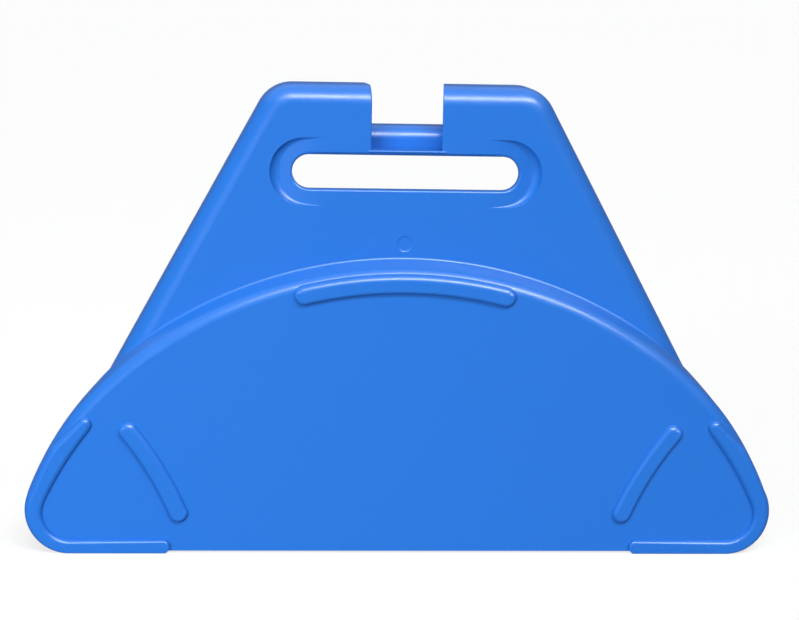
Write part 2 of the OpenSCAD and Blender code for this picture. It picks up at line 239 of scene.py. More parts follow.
LOWER = lower_outline()
_up = LOWER[:, 1]
_low = np.degrees(np.arctan2(_up - CORNER[1], np.abs(LOWER[:, 0]) - CORNER[0]))
ROUNDED = np.where(_up > CORNER[1], 1.0, smooth(-84, -30, _low))  # the bottom edge stays sharp
ROUNDED = np.where(np.abs(LOWER[:, 0]) < CORNER[0] - 0.1, np.where(_up > 60, 1.0, 0.0), ROUNDED)
DRAFTED = smooth(72, 124, _up)                                     # only the dome's wall leans
FOOTED = smooth(99, 124, _up)                                      # its fillet fades at the sides


def lower_body(name, inset, radius, face_y, end_y, foot=2.0, rim=0.6):
    """The half-moon with its rounded edge, leaning wall and foot fillet. Without a foot it is the
    tool for its hollow."""
    tilt = math.radians(DOME_TILT) * DRAFTED
    wall_depth = PLATE_Y - DOME_Y - DOME_EDGE_R * (1 - math.sin(math.radians(DOME_TILT)))
    lean = wall_depth * math.tan(math.radians(DOME_TILT)) * DRAFTED
    rings = []
    for k in range(15):
        t = (math.pi / 2 - tilt) * k / 14
        d = inset + lean + ROUNDED * radius * (np.cos(tilt) - np.sin(t))
        rings.append(ring(LOWER, d, face_y + radius * (1 - np.cos(t))))
    if foot:
        r = np.maximum(foot * FOOTED, 0.02)
        reach = r * np.tan((math.pi / 2 - tilt) / 2)
        for k in range(8):
            b = tilt + (math.pi / 2 - tilt) * k / 7
            rings.append(ring(LOWER, inset - reach + r * np.cos(b),
                              PLATE_Y + 0.02 - r + r * np.sin(b)))
        rings.append(ring(LOWER, inset, PLATE_Y + 1))
        rings += [ring(LOWER, inset + d, end_y - y)
                  for d, y in ((0, rim), (0.3 * rim, 0.3 * rim), (rim, 0))]
    else:
        rings.append(ring(LOWER, inset, PLATE_Y + inset))
        rings.append(ring(LOWER, inset, end_y))
    return skin(name, rings)


def casing(name, inset, radius, front_y, end_y, foot_z=CASING_Z, rim=0.6):
    """The trapezoid with its rounded front edge and a small radius at the back rim. A negative rim
    flares, for the tool that hollows it."""
    top_z = PANEL_H - TOP_R
    top = (side_x(top_z) - TOP_R * SLOPE_LEN, top_z, TOP_R)
    half = np.vstack([[[side_x(foot_z), foot_z, SLOPE_LEN, 0]], arc(top, SLOPE_DEG, 90, 20),
                      [[0, PANEL_H, 0, 1]]])
    outline = whole(half)
    rings = []
    for k in range(17):
        t = math.pi / 2 * k / 16
        rings.append(ring(outline, inset + radius * (1 - math.sin(t)),
                          front_y + radius * (1 - math.cos(t))))
    if rim > 0:
        rings += [ring(outline, inset + d, end_y - y)
                  for d, y in ((0, rim), (0.3 * rim, 0.3 * rim), (rim, 0))]
    else:
        rings += [ring(outline, inset + d, BACK_Y + y)
                  for d, y in ((0, rim), (0.3 * rim, 0.3 * rim), (rim, 0), (rim, end_y - BACK_Y))]
    return skin(name, rings)


def stadium(w, h, n=24):
    """Outline of a slot with round ends."""
    r = h / 2
    right = arc(((w - h) / 2, SLOT_Z, r), -90, 90, n)
    left = arc((-(w - h) / 2, SLOT_Z, r), 90, 270, n)
    return np.vstack([right, left])


def scoop_depth(x):
    """How far a scoop's floor lies behind the face: it sinks gently, then faster."""
    u = np.clip((np.abs(x) - SCOOP_START) / (SCOOP_X + SCOOP_R - SCOOP_START), 0, 1)
    return SCOOP_DEPTH * u ** 1.55


def scoop(name, side, grow=0.0):
    """The tray at one end of the slot, with a dished wall that joins its floor to the face. With
    grow it is the stock behind the tray."""
    r = SCOOP_R + grow
    start = SCOOP_START - 2 * grow
    line = [[x, SLOT_Z + r, 0, 1] for x in np.linspace(start, SCOOP_X, 12)[:-1]]
    upper = np.vstack([line, arc((SCOOP_X, SLOT_Z, r), 90, 0, 36)])

    # Profile of the wall for a depth of one: a small lip, a short ramp and a wide hollow
    lean, lip, hollow = math.radians(72), 0.08, 1.33
    profile = [(lip * math.sin(a), lip * (1 - math.cos(a))) for a in np.linspace(0, lean, 6)]
    run = (1 - lip * (1 - math.cos(lean)) - hollow * (1 - math.cos(lean))) / math.sin(lean)
    x0, y0 = profile[-1]
    x0, y0 = x0 + run * math.cos(lean), y0 + run * math.sin(lean)
    profile += [(x0 + hollow * (math.sin(lean) - math.sin(a)),
                 y0 + hollow * (math.cos(a) - math.cos(lean))) for a in np.linspace(lean, 0, 9)]
    if grow:
        profile = [(0.0, 0.0), (0.15, 1.0)]
    deep = scoop_depth(upper[:, 0])
    for _ in range(12):
        end = upper[:, 0] - upper[:, 2] * profile[-1][0] * deep
        deep = np.maximum(scoop_depth(end), 0.03)
    deep = deep + grow

    # Each level is the upper half and its mirror image below the slot's middle
    ladders = []
    top = PLATE_Y + 1 if grow else PLATE_Y - 3
    face = PLATE_Y - 0.01
    for across, down in [(0.0, None)] + profile:
        y = np.full(len(upper), top) if down is None else face + down * deep
        if grow:
            y = np.maximum(y, top)
        d = across * deep
        row = np.c_[upper[:, 0] - upper[:, 2] * d, y, upper[:, 1] - upper[:, 3] * d]
        low = row[::-1].copy()
        low[:, 2] = 2 * SLOT_Z - low[:, 2]
        loop = np.vstack([row, low[1:]])
        loop[:, 0] *= side
        ladders.append(loop)
    n = len(ladders[0])
    points = [p for loop in ladders for p in loop]
    faces = []
    for k in range(len(ladders) - 1):
        a, b = k * n, (k + 1) * n
        faces += [(a + i, a + (i + 1) % n, b + (i + 1) % n, b + i) for i in range(n)]
    for base in (0, (len(ladders) - 1) * n):                # the caps, in strips across the tray
        for i in range((n - 1) // 2):
            j = n - 1 - i
            faces.append((base + i, base + i + 1, base + j) if i + 1 == j - 1 else
                         (base + i, base + i + 1, base + j - 1, base + j))
    return solid(name, points, faces)


# ---- side panel ----

def notch_sides(side_view, grow=0.0):
    """The two ends of a body as wide as the notch, from its outline in Y and Z."""
    return [[(side * (NOTCH_X + grow + NOTCH_DRAFT * (y - PLATE_Y)), y, z) for y, z in side_view]
            for side in (-1, 1)]


def notch_mouth():
    """Cutter for the rounded corners of the notch's mouth: up the ears' fronts and over their
    tops. The left ear's corner is rounder than the right one's."""
    def section(worn):
        line = []
        for side, r in ((1, NOTCH_EDGE_R), (-1, worn)):
            half = [(NOTCH_X + r, -2)] + [(NOTCH_X + r * (1 - math.sin(a)), r * (1 - math.cos(a)))
                                          for a in np.linspace(0, math.pi / 2, 6)]
            half = [(side * x, d) for x, d in half + [(NOTCH_X - 1, r + 1)]]
            line += half if side > 0 else half[::-1]
        return line

    cy, cz = PLATE_Y + EDGE_R, PANEL_H - EDGE_R
    rings = [[(x, PLATE_Y + d, NOTCH_FLOOR_Z) for x, d in section(NOTCH_EDGE_R)]]
    for k in range(17):
        a = math.pi / 2 * k / 16
        worn = NOTCH_EDGE_R + (WORN_EDGE_R - NOTCH_EDGE_R) * float(smooth(0, 1, a))
        rings.append([(x, cy - (EDGE_R - d) * math.cos(a), cz + (EDGE_R - d) * math.sin(a))
                      for x, d in section(worn)])
    rings.append([(x, BACK_Y + 6, PANEL_H - d) for x, d in section(WORN_EDGE_R)])
    return skin("mouth", rings)


def rib(x0, z0, x1, z1, y0=DOME_Y + 2.4, y1=DOME_Y + WALL + 8):
    """A moulded rib: slightly thinner and rounded at its free edge."""
    along = Vector((x1 - x0, z1 - z0)).normalized()
    across = Vector((-along.y, along.x))
    section = [(-1.15, y0), (-0.85, y1 - 0.5), (-0.7, y1 - 0.15), (-0.35, y1),
               (0.35, y1), (0.7, y1 - 0.15), (0.85, y1 - 0.5), (1.15, y0)]
    return skin("rib", [[(x + across.x * s, y, z + across.y * s) for s, y in section]
                        for x, z in ((x0, z0), (x1, z1))])


def boss(x, z, y0, y1, r, fillet=1.2):
    """A round boss with a fillet at its foot and a small chamfer at its end."""
    foot = [(r + fillet - fillet * math.sin(a), y0 + fillet - fillet * math.cos(a))
            for a in np.linspace(0, math.pi / 2, 6)]
    return lathe("boss", x, z, [(0, y0 - 0.5), (r + fillet, y0 - 0.5)] + foot
                 + [(r, y1 - 0.5), (r - 0.5, y1), (0, y1)], 64)


def bore(x, z, r, y0, y1=60.0):
    return lathe("bore", x, z, [(0, y0), (r, y0), (r, y1), (0, y1)], 64)


def both(maker, *spots):
    """What the maker builds at each spot and at its mirror image."""
    return [maker(side * x, z) for x, z in spots for side in (-1, 1)]


def bead():
    """A fine bead under the notch's mouth, a little wider than the notch."""
    z, thickness = NOTCH_FLOOR_Z - 0.7, 0.6
    ends = ((-20.4, 0.3), (-20, 0.8), (-19.4, 1), (20.4, 1), (21, 0.8), (21.4, 0.3))
    turn = np.linspace(0, 2 * math.pi, 17)[:-1]
    rings = []
    for x, part in ends:
        r = thickness * part
        rings.append([(x, PLATE_Y + 0.25 - r * math.cos(a), z + r * math.sin(a)) for a in turn])
    return skin("bead", rings)


def side_panel():
    panel = casing("panel", 0, EDGE_R, PLATE_Y, BACK_Y)
    combine(panel, [lower_body("lower", 0, DOME_EDGE_R, DOME_Y, LIP_Y)], "UNION")
    hollows = [casing("hollow", WALL, EDGE_R - WALL, PLATE_Y + WALL, BACK_Y + 2, CASING_Z - 6, -0.6),
               lower_body("hollow", WALL, DOME_EDGE_R - WALL, DOME_Y + WALL, BACK_Y + 2, foot=0)]
    combine(panel, hollows, "DIFFERENCE")

    # Walls round the notch, the slot's rim and the backs of the scoops
    rim = stadium(SLOT_W, SLOT_H)
    lip_end = PLATE_Y + SLOT_LIP
    r = EDGE_R - 0.5
    end_y, foot_z = BACK_Y - 0.05, SLOT_Z + 9
    front = [(PLATE_Y + EDGE_R - r * math.cos(a), PANEL_H - EDGE_R + r * math.sin(a))
             for a in np.linspace(0, math.pi / 2, 17)]
    walls_view = [(PLATE_Y + 0.5, foot_z)] + front + [(end_y, PANEL_H - 0.5), (end_y, foot_z)]
    stock = [skin("stock", notch_sides(walls_view, WALL)),
             skin("rim", [ring(rim, -WALL, PLATE_Y + 1), ring(rim, -WALL, lip_end - 0.8),
                          ring(rim, 0.24 - WALL, lip_end - 0.24), ring(rim, 0.8 - WALL, lip_end)]),
             scoop("back", 1, WALL), scoop("back", -1, WALL), bead()]
    combine(panel, stock, "UNION")

    # Ribs and bosses inside the half-moon
    rx, rz = ROLLER
    gx, gz = GUIDE
    ribs = [rib(x, 0, x, 160) for x in (-110, -55, -28, 28, 55, 110)]
    ribs += [rib(-113, z, 113, z) for z in (35, 65, 95)]
    for s in (-1, 1):
        ribs += [rib(s * gx, gz, s * 152, gz), rib(s * 110, 16, s * rx, 16)]
        for a in (80, 130, 180):
            ribs.append(rib(s * rx, rz, s * (rx + 40 * math.cos(math.radians(a))),
                            rz + 40 * math.sin(math.radians(a))))
    web = combine(ribs[0], ribs[1:], "UNION")
    combine(web, [lower_body("keep", WALL - 0.5, 3, DOME_Y + 2.5, LIP_Y + 20, foot=0)], "INTERSECT")
    inner = DOME_Y + WALL
    bosses = [web, boss(DRIVE[0], DRIVE[1], inner, -6, 13)]
    bosses += both(lambda x, z: boss(x, z, inner, -2, 14), ROLLER)
    bosses += both(lambda x, z: boss(x, z, inner, -3, 9), GUIDE)
    bosses += [boss(x, z, inner, BACK_Y, 6.3) for x, z in LOWER_PILLARS]
    bosses += [boss(x, z, PLATE_Y + WALL, BACK_Y, 6.3) for x, z in UPPER_PILLARS]
    combine(panel, bosses, "UNION")

    # Notch, ledge, slot, scoops and gate mark
    ledge = [(LEDGE_Y + LEDGE_R - LEDGE_R * math.cos(a), LEDGE_Z - LEDGE_R + LEDGE_R * math.sin(a))
             for a in np.linspace(0, math.pi / 2, 12)]
    notch_view = [(-20, NOTCH_FLOOR_Z), (LEDGE_Y, NOTCH_FLOOR_Z)] + ledge + [
        (60, LEDGE_Z), (60, 260), (-20, 260)]
    notch = skin("notch", notch_sides(notch_view))
    inner_r = LEDGE_R - WALL
    under_view = [(60, 190), (LEDGE_Y + WALL, 190)] + [
        (LEDGE_Y + LEDGE_R - inner_r * math.cos(a), LEDGE_Z - LEDGE_R + inner_r * math.sin(a))
        for a in np.linspace(0, math.pi / 2, 8)] + [(60, LEDGE_Z - WALL)]
    under = skin("under", [[(x, y, z) for y, z in under_view] for x in (-NOTCH_X, NOTCH_X)])
    cuts = [notch, notch_mouth(), under]
    lip = 1.45                                              # rounding of the slot's front edge
    slot = [ring(rim, -lip, PLATE_Y - 4)]
    for a in np.linspace(0, math.pi / 2, 9):
        out = lip * (1 - math.sin(a))
        floor = PLATE_Y - 0.01 + scoop_depth(rim[:, 0] + rim[:, 2] * out)
        slot.append(ring(rim, -out, floor + lip * (1 - math.cos(a))))
    slot += [ring(rim, -0.6 * (1 - math.cos(a)), lip_end - 0.6 + 0.6 * math.sin(a))
             for a in np.linspace(0, math.pi / 2, 5)]
    slot += [ring(rim, -0.6, 60)]
    cuts += [skin("slot", slot), scoop("scoop", 1), scoop("scoop", -1)]
    gate = [(4.3, -2), (4.3, -0.02), (4.1, 0.12), (3.7, 0.32), (2.6, 0.4), (0, 0.34)]
    cuts += [lathe("gate", 0, GATE_Z, [(r, PLATE_Y + y) for r, y in [(0, -2)] + gate], 64)]

    # Bores
    seat = DOME_Y + WALL + 2.5
    cuts += both(lambda x, z: bore(x, z, 10, seat), ROLLER)
    cuts += both(lambda x, z: bore(x, z, 4, seat), GUIDE)
    cuts += [bore(DRIVE[0], DRIVE[1], 9, seat)]
    cuts += [bore(x, z, 3.5, BACK_Y - 9.5) for x, z in UPPER_PILLARS + LOWER_PILLARS]
    combine(panel, cuts, "DIFFERENCE")
    return panel


# ---- wear strips ----

def peg(x, z):
    """A round peg whose end is staked to a low mushroom head on the inner side."""
    y = DOME_Y + WALL
    return lathe("peg", x, z, [(0, DOME_Y), (2, DOME_Y), (2, y - 0.02), (3.35, y - 0.02),
                               (3.5, y + 0.25), (3.1, y + 0.8), (2.0, y + 1.12), (0.9, y + 1.2),
                               (0.35, y + 0.95), (0, y + 0.9)], 40)


def raised(name, outline, radius, pegs, top_y=STRIP_Y, foot_y=DOME_Y + 2.9):
    """A strip with rounded upper edges and its pegs. The radius may change round the outline."""
    rings = []
    for k in range(11):
        t = math.pi / 2 * k / 10
        rings.append(ring(outline, radius * (1 - math.sin(t)), top_y + radius * (1 - math.cos(t))))
    rings.append(ring(outline, 0, foot_y))
    return join(name, [skin(name, rings)] + [peg(x, z) for x, z in pegs])


def arc_strip(centre, width, a0, a1, n=60):
    """Outline of a curved strip with round ends, anticlockwise."""
    x, z, r = centre
    ends = [(x + r * math.cos(math.radians(a)), z + r * math.sin(math.radians(a)))
            for a in (a0, a1)]
    outer = arc((x, z, r + width / 2), a0, a1, n)
    inner = arc((x, z, r - width / 2), a1, a0, n, side=-1)
    far_end = arc((*ends[1], width / 2), a1, a1 + 180, 20)
    near_end = arc((*ends[0], width / 2), a0 - 180, a0, 20)
    return np.vstack([outer, far_end[1:-1], inner, near_end[1:-1]])


def edge_radius(outline):
    """A strip's edge is rounder where it looks up than where it looks down."""
    return 2.0 + 2.3 * smooth(0, 0.8, outline[:, 3])


def mirrored(outline):
    out = outline[::-1].copy()
    out[:, 0] *= -1
    out[:, 2] *= -1
    return out


def corner_strip():
    """Outline of the right corner's strip, its edge radius at each point and its pegs."""
    corner_x, corner_z, corner_r = 173.9, 21.4, 14.4        # inner edge round the corner
    side_r, side_from, top = 190.0, 25.0, 38.7              # inner edge up the side, in degrees
    turn = math.radians(side_from)
    bow = (corner_x - (side_r - corner_r) * math.cos(turn),
           corner_z - (side_r - corner_r) * math.sin(turn))

    def on_side(r, a):
        return bow[0] + r * math.cos(math.radians(a)), bow[1] + r * math.sin(math.radians(a))

    cap = (*on_side(side_r + LEG_W / 2, top), LEG_W / 2)
    foot, under, heel = 0.7, 1.6, 4.0                       # edge radii
    x, slant, flat = LEG_END_X, 0.924, 0.383
    parts = [
        ([[x, 2.0, -slant, -flat], [x + 2, 0, -flat, -slant]], foot),
        (arc((CORNER[0], CORNER[2], CORNER[2]), -90, CORNER_TO, 40), None),
        (arc((*BOW[:2], BOW[2] - 0.6), CORNER_TO + 1, 30.5, 12), heel),
        (arc(cap, top - 4, top + 180, 26), 3.4),
        (arc((*bow, side_r), top - 0.6, side_from + 0.6, 22, side=-1), 2.8),
        (arc((corner_x, corner_z, corner_r), side_from, -90, 34, side=-1), 2.6),
        ([[x + 2, 7.0, -flat, slant], [x, 5.0, -slant, flat]], under)]
    outline = np.vstack([p for p, _ in parts])
    radius = np.concatenate([np.linspace(foot, heel, len(p)) if r is None
                             else np.full(len(p), float(r)) for p, r in parts])
    return outline, radius, [on_side(side_r + 3.2, a) for a in (29, 36.5)]


def wear_strips():
    """The crown strip, then an inner and a corner strip for each side."""
    made = []
    peg_r = CROWN_R - 2.5
    pegs = [(peg_r * math.sin(math.radians(a)), DOME[1] + peg_r * math.cos(math.radians(a)))
            for a in (-11, 0, 11)]
    outline = arc_strip((0, DOME[1], CROWN_R), CROWN_W, 90 - CROWN_HALF, 90 + CROWN_HALF, 90)
    made.append(("crown_wear_strip", raised("crown", outline, edge_radius(outline), pegs)))
    short = arc_strip(INNER_STRIP, INNER_W, INNER_FROM, INNER_TO, 50)
    x, z, r = INNER_STRIP
    pegs = [(x + r * math.cos(math.radians(a)), z + r * math.sin(math.radians(a)))
            for a in (INNER_FROM + 2.95, INNER_TO - 3)]
    corner, radius, corner_pegs = corner_strip()
    for side, where in ((1, "right"), (-1, "left")):
        turn = (lambda o: o) if side > 0 else mirrored
        made.append((f"{where}_inner_wear_strip",
                     raised("inner", turn(short), edge_radius(turn(short)),
                            [(side * x, z) for x, z in pegs])))
        made.append((f"{where}_corner_wear_strip",
                     raised("corner", turn(corner), radius if side > 0 else radius[::-1],
                            [(side * x, z) for x, z in corner_pegs])))
    return made


# ---- bearings, wheels and fasteners ----

def centre_of(node):
    """Middle and extent of a CAD node, in millimetres."""
    low, high = (np.array(v) * 1000 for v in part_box(node))
    return (low + high) / 2, low, high


def flanged_bush(node, bore_r, body_r, flange_r):
    """A bearing bush with a lead-in, two grease grooves in its bore and a flange with two flats."""
    mid, low, high = centre_of(node)
    y0, y1 = low[1], high[1]
    flange_y = y1 - 2
    span = y1 - y0
    grooves = []
    for at in (0.62, 0.3):
        y = y0 + span * at
        grooves += [(bore_r, y + 0.7), (bore_r + 0.5, y + 0.4), (bore_r + 0.5, y - 0.4),
                    (bore_r, y - 0.7)]
    profile = [(bore_r + 0.6, y0), (body_r - 0.6, y0), (body_r, y0 + 0.6), (body_r, flange_y),
               (flange_r - 0.25, flange_y), (flange_r, flange_y + 0.25), (flange_r, y1 - 0.6),
               (flange_r - 0.25, y1 - 0.18), (flange_r - 0.7, y1), (bore_r + 0.9, y1),
               (bore_r + 0.3, y1 - 0.25), (bore_r, y1 - 0.9)] + grooves + [(bore_r, y0 + 0.6)]
    bush = lathe(node, mid[0], mid[2], profile, 128)
    cuts = [block("flat", mid[0] + s * (flange_r - 0.9), mid[0] + s * (flange_r + 5), flange_y - 0.01,
                  y1 + 1, mid[2] - 12, mid[2] + 12) for s in (-1, 1)]
    return combine(bush, cuts, "DIFFERENCE")


def guide_pin(node):
    """A pin with a groove for its clip and a centre mark in its end."""
    mid, low, high = centre_of(node)
    y0, y1, r = low[1], high[1], 4.0
    clip = y1 - 2.55
    return lathe(node, mid[0], mid[2], [
        (0, y0), (r - 0.6, y0), (r, y0 + 0.6), (r, clip), (3.25, clip), (3.2, clip + 0.06),
        (3.2, clip + 0.94), (3.25, clip + 1.0), (r, clip + 1.0), (r, y1 - 0.7), (r - 0.2, y1 - 0.25),
        (r - 0.7, y1), (1.3, y1), (0.5, y1 - 0.9), (0, y1 - 1.0)], 96)


def guide_wheel(node):
    """Flanged wheel: rounded tread, thin web with six holes, hub with a raised ring."""
    mid, low, high = centre_of(node)
    y0, y1, y = low[1], high[1], mid[1]
    tread, rim_in, hub, bore_r, web = 19.0, 15.8, 9.0, 6.0, 2.0
    half = [(bore_r + 0.5, y1), (hub - 0.5, y1), (hub - 0.12, y1 - 0.14), (hub, y1 - 0.5),
            (hub, y + web + 1.2), (hub + 0.35, y + web + 0.35), (hub + 1.2, y + web),
            (rim_in - 1.2, y + web), (rim_in - 0.35, y + web + 0.35), (rim_in, y + web + 1.2),
            (rim_in, y1 - 1.6), (rim_in + 0.15, y1 - 1.15), (rim_in + 0.6, y1 - 1.0),
            (tread + 1.4, y1 - 1.0), (tread + 1.82, y1 - 1.18), (tread + 2.0, y1 - 1.6),
            (tread + 2.0, y1 - 2.2), (tread + 1.82, y1 - 2.62), (tread + 1.2, y1 - 2.9),
            (tread + 0.25, y1 - 3.3), (tread, y1 - 3.9)]
    line = [(tread, y + 0.12), (tread + 0.07, y), (tread, y - 0.12)]      # mould parting line
    back = [(r, y0 + y1 - h) for r, h in reversed(half)]
    wheel = lathe(node, mid[0], mid[2], half + line + back + [(bore_r, y0 + 0.5), (bore_r, y1 - 0.5)],
                  160)
    holes = []
    for k in range(6):
        a = math.radians(60 * k)
        holes.append(lathe("hole", mid[0] + 12.4 * math.cos(a), mid[2] + 12.4 * math.sin(a), [
            (0, y - 6), (2.9, y - 6), (2.9, y - web), (2.5, y - web + 0.4), (2.5, y + web - 0.4),
            (2.9, y + web), (2.9, y + 6), (0, y + 6)], 40))
    return combine(wheel, holes, "DIFFERENCE")


def sleeve(node):
    """A plain sleeve with small chamfers."""
    mid, low, high = centre_of(node)
    y0, y1 = low[1], high[1]
    return lathe(node, mid[0], mid[2], [
        (4.45, y0), (5.6, y0), (6, y0 + 0.4), (6, y1 - 0.4), (5.6, y1), (4.45, y1),
        (4.05, y1 - 0.4), (4.05, y0 + 0.4)], 96)


def washers():
    """A washer at each side of each wheel."""
    _, low, high = centre_of("thrust_washers")
    made = []
    for s in (-1, 1):
        for y in (low[1], high[1] - 1):
            made.append(lathe("washer", s * GUIDE[0], GUIDE[1], [
                (4.2, y), (8.3, y), (8.5, y + 0.2), (8.5, y + 0.8), (8.3, y + 1), (4.2, y + 1),
                (4.05, y + 0.85), (4.05, y + 0.15)], 96))
    return join("washers", made)


def clips():
    """E-clips: three lugs that grip the groove, and an open foot."""
    _, low, high = centre_of("pin_clips")
    y0, y1 = low[1], high[1]
    outline = []
    for k in range(121):
        a = math.radians(-66 + 312 * k / 120)
        outline.append((6.5 * math.cos(a), 6.5 * math.sin(a)))
    inner = []
    for k in range(121):
        deg = 246 - 312 * k / 120
        near = min(abs(deg - c) for c in (-60, 90, 240))
        r = 3.25 + 1.35 * float(smooth(12, 20, near))
        inner.append((r * math.cos(math.radians(deg)), r * math.sin(math.radians(deg))))
    made = []
    for s in (-1, 1):
        shape = [(s * GUIDE[0] + x, GUIDE[1] + z) for x, z in outline + inner]
        made.append(prism("clip", shape, y0, y1))
    return join("clips", made)


def inserts(spots):
    """Brass inserts: two knurled bands, a waist between them and a threaded bore."""
    made = []
    y0, y1 = BACK_Y - 9.5, BACK_Y
    for x, z in spots:
        rings = []
        steps, teeth = 144, 36
        for k in range(steps):
            a = 2 * math.pi * k / steps
            tooth = 0.16 * abs(((k * teeth / steps) % 1) * 2 - 1)
            profile = [(3.2, y0), (3.5 - tooth, y0 + 0.3), (3.5 - tooth, y0 + 3.4), (3.15, y0 + 3.6),
                       (3.15, y0 + 4.9), (3.5 - tooth, y0 + 5.1), (3.5 - tooth, y1 - 0.9),
                       (3.15, y1 - 0.7), (3.45, y1 - 0.5), (3.45, y1 - 0.12), (3.33, y1),
                       (2.95, y1), (2.55, y1 - 0.4)]
            for j in range(9):
                y = y1 - 0.7 - j
                profile += [(2.5, y), (2.82, y - 0.45)]
            profile.append((2.5, y0 + 0.1))
            rings.append([(x + r * math.cos(a), y, z + r * math.sin(a)) for r, y in profile])
        made.append(skin("insert", rings, closed=True))
    return join("inserts", made)


def float_block(node, side):
    """Cut foam: soft edges and faces that aren't quite flat."""
    _, low, high = centre_of(node)
    x0 = min(abs(low[0]), abs(high[0]))
    x1 = max(abs(low[0]), abs(high[0]))
    x2 = x1 - SLOPE * (high[2] - low[2])
    corners = [(x0, low[2]), (x1, low[2]), (x2, high[2]), (x0, high[2])]
    obj = prism(node, [(side * x, z) for x, z in corners], low[1], high[1])
    mod = obj.modifiers.new("edges", "BEVEL")
    mod.width, mod.segments = 1.3, 4
    bake(obj)
    mod = obj.modifiers.new("grid", "REMESH")
    mod.mode, mod.voxel_size = "VOXEL", 1.1
    bake(obj)
    noise = np.random.default_rng(7 + side)
    waves = noise.normal(0, 1, (6, 3)) * 0.09
    shifts = noise.uniform(0, 6.28, 6)
    co = np.empty(len(obj.data.vertices) * 3)
    obj.data.vertices.foreach_get("co", co)
    co = co.reshape(-1, 3)
    middle = co.mean(0)
    dent = sum(np.sin(co @ w + s) for w, s in zip(waves, shifts)) * 0.07 - 0.12
    away = co - middle
    away /= np.linalg.norm(away, axis=1)[:, None]
    obj.data.vertices.foreach_set("co", (co + away * dent[:, None]).ravel())
    return obj


# ---- materials ----

def mix_colors(tree, factor, first, second):
    """Mixes two colours, each a colour or another node's output."""
    made = tree.nodes.new("ShaderNodeMix")
    made.data_type = "RGBA"
    tree.links.new(factor, made.inputs["Factor"])
    for value, socket in zip((first, second), [i for i in made.inputs if i.type == "RGBA"]):
        if isinstance(value, tuple):
            socket.default_value = (*value, 1)
        else:
            tree.links.new(value, socket)
    return next(o for o in made.outputs if o.type == "RGBA")


def map_range(tree, value, low, high, to_low, to_high):
    made = tree.nodes.new("ShaderNodeMapRange")
    for key, number in zip(("From Min", "From Max", "To Min", "To Max"),
                           (low, high, to_low, to_high)):
        made.inputs[key].default_value = number
    tree.links.new(value, made.inputs["Value"])
    return made.outputs["Result"]


class Graph:
    """A material's node tree, with short ways to add the nodes used here."""

    def __init__(self, name):
        self.material = bpy.data.materials.new(name)
        self.material.use_nodes = True
        self.tree = self.material.node_tree
        self.shader = self.tree.nodes["Principled BSDF"]
        self.coords = self.tree.nodes.new("ShaderNodeTexCoord").outputs["Object"]

    def node(self, kind, **settings):
        made = self.tree.nodes.new("ShaderNode" + kind)
        for key, value in settings.items():
            setattr(made, key, value)
        return made

    def join(self, source, target):
        self.tree.links.new(source, target)

    def stretched(self, x, y, z):
        mapping = self.node("Mapping")
        mapping.inputs["Scale"].default_value = (x, y, z)
        self.join(self.coords, mapping.inputs["Vector"])
        return mapping.outputs["Vector"]

    def noise(self, scale, detail=3.0, coords=None, rough=0.55):
        made = self.node("TexNoise")
        made.inputs["Scale"].default_value = scale
        made.inputs["Detail"].default_value = detail
        made.inputs["Roughness"].default_value = rough
        self.join(coords or self.coords, made.inputs["Vector"])
        return made.outputs["Fac"]

    def ranged(self, value, *limits):
        return map_range(self.tree, value, *limits)

    def mix(self, factor, first, second):
        return mix_colors(self.tree, factor, first, second)

    def bump(self, height, depth, strength=1.0, onto=None):
        made = self.node("Bump")
        made.inputs["Strength"].default_value = strength
        made.inputs["Distance"].default_value = depth
        self.join(height, made.inputs["Height"])
        if onto:
            self.join(onto, made.inputs["Normal"])
        return made.outputs["Normal"]

    def finish(self, color, roughness, normal, **fixed):
        self.join(color, self.shader.inputs["Base Color"])
        self.join(roughness, self.shader.inputs["Roughness"])
        self.join(normal, self.shader.inputs["Normal"])
        for key, value in fixed.items():
            self.shader.inputs[key.replace("_", " ").title().replace("Ior", "IOR")].default_value = value
        return self.material


def moulded(name, light, dark, rough, grain=650.0, depth=3e-5, scuffs=0.0, **fixed):
    """Injection-moulded plastic: cloudy tone, fine grain, and rubbed streaks where it wears."""
    g = Graph(name)
    clouds = g.ranged(g.noise(22, 4), 0.36, 0.64, 0.0, 1.0)
    fine = g.noise(grain, 3, rough=0.7)
    color = g.mix(g.ranged(fine, 0.2, 0.8, 0.0, 1.0), dark, light)
    soft = tuple(0.5 * (a + b) for a, b in zip(light, dark))
    color = g.mix(g.ranged(clouds, 0, 1, 0.15, 0.75), soft, color)
    roughness = g.ranged(g.noise(130, 5), 0.3, 0.7, rough - 0.05, rough + 0.05)
    normal = g.bump(fine, depth)
    normal = g.bump(g.noise(34, 2), 2.5e-4, 0.5, normal)
    if scuffs:
        streaks = g.ranged(g.noise(90, 6, g.stretched(1, 1, 14), 0.75), 0.6, 0.78, 0.0, scuffs)
        pale = tuple(min(1.0, 0.7 * c + 0.3 * max(light)) for c in light)
        color = g.mix(streaks, color, pale)
    return g.finish(color, roughness, normal, **fixed)


def machined(name, light, dark, rough, lay=(1, 40, 1), depth=1.2e-5, **fixed):
    """Turned or drawn metal: fine marks along the lay and patchy tarnish."""
    g = Graph(name)
    marks = g.noise(260, 4, g.stretched(*lay), 0.7)
    color = g.mix(g.ranged(g.noise(240, 5), 0.35, 0.68, 0.0, 1.0), light, dark)
    roughness = g.ranged(marks, 0.3, 0.7, rough - 0.08, rough + 0.1)
    return g.finish(color, roughness, g.bump(marks, depth), metallic=1.0, **fixed)


